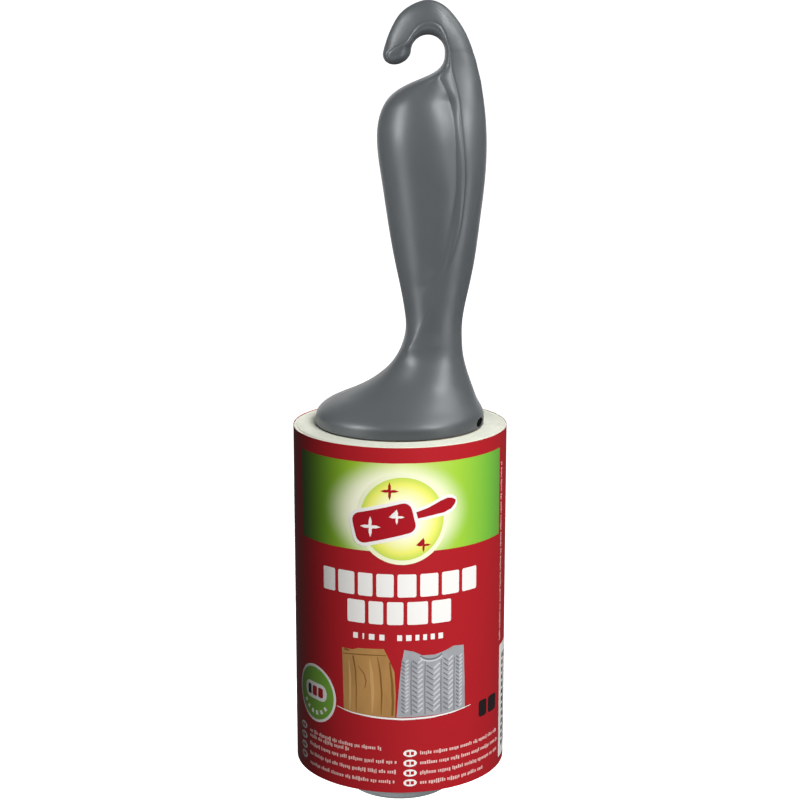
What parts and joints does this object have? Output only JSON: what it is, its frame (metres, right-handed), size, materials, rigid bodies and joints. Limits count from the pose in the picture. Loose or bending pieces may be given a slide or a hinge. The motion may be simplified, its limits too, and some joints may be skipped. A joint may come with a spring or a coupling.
{
  "type": "lint roller",
  "caption": "Hand-held lint roller: contoured grey handle with a hanging hook, a free-spinning slotted spindle and a pull-off refill of adhesive sheets in a printed wrap.",
  "frame": {"origin": "centre of the nose cap's flat end, on the roll's axis; the lowest point of the roller stood on its nose", "axes": "+Z along the roll's axis towards the hook, -Y is the front of the printed wrap, -X is the side that the hook opens to"},
  "size_m": [0.0622, 0.0622, 0.2313],
  "materials": {
    "handle_plastic": "satin moulded",
    "axle_plastic": "smooth moulded",
    "clip_steel": "plain zinc",
    "cage_plastic": "smooth moulded",
    "cap_plastic": "satin moulded",
    "core_board": "raw board",
    "sheet_paper": "coated paper",
    "wrap_film": "gloss printed film"
  },
  "bodies": {
    "handle": {"handle_front_shell": "handle_plastic", "handle_rear_shell": "handle_plastic", "axle": "axle_plastic", "axle_clip": "clip_steel"},
    "spindle": {"spindle_cage": "cage_plastic", "nose_cap": "cap_plastic"},
    "refill": {"core_tube": "core_board", "sheet_01": "sheet_paper", "sheet_02": "sheet_paper", "sheet_03": "sheet_paper", "sheet_04": "sheet_paper", "sheet_05": "sheet_paper", "sheet_06": "sheet_paper", "sheet_07": "sheet_paper", "sheet_08": "sheet_paper", "sheet_09": "sheet_paper", "sheet_10": "sheet_paper", "sheet_11": "sheet_paper", "sheet_12": "sheet_paper", "sheet_13": "sheet_paper", "sheet_14": "sheet_paper", "sheet_15": "sheet_paper", "sheet_16": "sheet_paper", "sheet_17": "sheet_paper", "sheet_18": "sheet_paper", "sheet_19": "sheet_paper", "sheet_20": "sheet_paper", "sheet_21": "sheet_paper", "sheet_22": "sheet_paper", "sheet_23": "sheet_paper", "sheet_24": "sheet_paper", "sheet_25": "sheet_paper", "sheet_26": "sheet_paper", "sheet_27": "sheet_paper", "sheet_28": "sheet_paper", "sheet_29": "sheet_paper", "sheet_30": "sheet_paper", "printed_wrap": "wrap_film"}
  },
  "joints": [
    {"name": "spindle_spin", "type": "hinge", "parent": "handle", "child": "spindle", "pos_m": [0, 0, 0.0095], "axis": [0, 0, 1], "continuous": true},
    {"name": "refill_slide", "type": "slide", "parent": "spindle", "child": "refill", "axis": [0, 0, -1], "range_m": [0, 0.118]}
  ]
}
